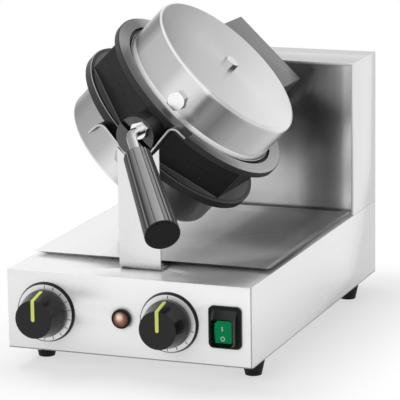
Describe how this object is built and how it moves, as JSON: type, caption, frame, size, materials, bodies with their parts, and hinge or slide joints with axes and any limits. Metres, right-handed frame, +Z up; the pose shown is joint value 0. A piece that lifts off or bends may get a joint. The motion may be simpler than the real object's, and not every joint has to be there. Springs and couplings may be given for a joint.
{
  "type": "bubble waffle maker",
  "caption": "Countertop bubble waffle maker: a round two-part iron that flips on a level axis above a steel base, with a hinged lid, bent handle, two control knobs and a drip tray.",
  "frame": {"origin": "middle of the machine's footprint, handle and gland included, at the level where the feet stand", "axes": "+X to the machine's right, +Y to its rear, away from the control panel, +Z up"},
  "size_m": [0.25, 0.5214, 0.337],
  "materials": {
    "stainless_brushed": "fine brushed stainless sheet",
    "stainless_mirror": "polished stainless sheet",
    "casting_dark": "cast aluminium with a dark non-stick coating, machined edges",
    "cover_steel": "spun stainless sheet, satin",
    "hinge_steel": "folded stainless sheet, satin",
    "yoke_steel": "plain steel plate",
    "bolt_steel": "bright zinc plated steel",
    "rod_steel": "bright drawn steel",
    "bakelite": "moulded phenolic, half gloss",
    "knob_black": "moulded black plastic, half gloss",
    "black_plastic": "moulded black plastic",
    "dial_silver": "printed aluminium disc",
    "control_body": "moulded thermoset",
    "terminal_cream": "ceramic-filled plastic",
    "rubber_black": "matt moulded rubber",
    "lens_amber": "clear amber plastic",
    "rocker_green": "clear green plastic with white marks",
    "boot_clear": "thin clear silicone",
    "bearing_iron": "turned cast iron",
    "bush_bronze": "sintered bronze",
    "element_steel": "sheathed element, heat darkened",
    "clamp_steel": "plain steel plate"
  },
  "bodies": {
    "base": {"base_screws": "bolt_steel", "base_shell": "stainless_brushed", "bearing_bracket": "yoke_steel", "bearing_bush": "bush_bronze", "bearing_screws": "bolt_steel", "bottom_plate": "stainless_brushed", "cable_gland": "black_plastic", "column_panel": "stainless_mirror", "column_shell": "stainless_brushed", "cradle": "stainless_brushed", "foot_front_left": "rubber_black", "foot_front_right": "rubber_black", "foot_rear_left": "rubber_black", "foot_rear_right": "rubber_black", "foot_screws": "bolt_steel", "front_panel": "stainless_brushed", "front_post": "stainless_brushed", "lamp_holder": "black_plastic", "lamp_lens": "lens_amber", "post_screws": "bolt_steel", "rear_cover": "stainless_brushed", "rear_screws": "bolt_steel", "shaft_bearing": "bearing_iron", "switch_boot": "boot_clear", "switch_frame": "black_plastic", "terminal_block": "terminal_cream", "thermostat_bezel": "black_plastic", "thermostat_body": "control_body", "thermostat_dial": "dial_silver", "timer_bezel": "black_plastic", "timer_body": "control_body", "timer_dial": "dial_silver"},
    "iron": {"lower_pan": "casting_dark", "lower_cover": "cover_steel", "lower_element": "element_steel", "lower_element_clamp": "clamp_steel", "lower_cover_bolts": "bolt_steel", "hinge_yoke": "yoke_steel", "yoke_screws": "bolt_steel", "pivot_shaft": "rod_steel", "shaft_collar": "yoke_steel", "hinge_pin": "bolt_steel", "hinge_pin_clip": "bolt_steel"},
    "lid": {"upper_pan": "casting_dark", "upper_cover": "cover_steel", "upper_element": "element_steel", "upper_element_clamp": "clamp_steel", "upper_cover_bolts": "bolt_steel", "hinge_box": "hinge_steel", "handle_rod": "rod_steel", "handle_nut": "bolt_steel", "handle_grip": "bakelite", "handle_cap": "bakelite"},
    "thermostat_control": {"thermostat_knob": "knob_black", "thermostat_spindle": "rod_steel"},
    "timer_control": {"timer_knob": "knob_black", "timer_spindle": "rod_steel"},
    "switch_rocker": {"rocker": "rocker_green"},
    "tray": {"drip_tray": "stainless_mirror"}
  },
  "joints": [
    {"name": "iron_turn", "type": "hinge", "parent": "base", "child": "iron", "pos_m": [0, 0.00674, 0.23], "axis": [0, 1, 0], "range_deg": [-44, 136]},
    {"name": "lid_hinge", "type": "hinge", "parent": "iron", "child": "lid", "pos_m": [0.02292, 0.12874, 0.25374], "axis": [0.7193, 0, -0.6947], "range_deg": [-90, 0]},
    {"name": "thermostat_turn", "type": "hinge", "parent": "base", "child": "thermostat_control", "pos_m": [-0.0845, -0.14726, 0.0585], "axis": [0, 1, 0], "range_deg": [0, 300]},
    {"name": "timer_turn", "type": "hinge", "parent": "base", "child": "timer_control", "pos_m": [0.0422, -0.14726, 0.0585], "axis": [0, 1, 0], "range_deg": [0, 300]},
    {"name": "rocker_tilt", "type": "hinge", "parent": "base", "child": "switch_rocker", "pos_m": [0.0985, -0.14626, 0.0552], "axis": [-1, 0, 0], "range_deg": [0, 14]},
    {"name": "tray_slide", "type": "slide", "parent": "base", "child": "tray", "axis": [1, 0, 0], "range_m": [0, 0.26]}
  ]
}
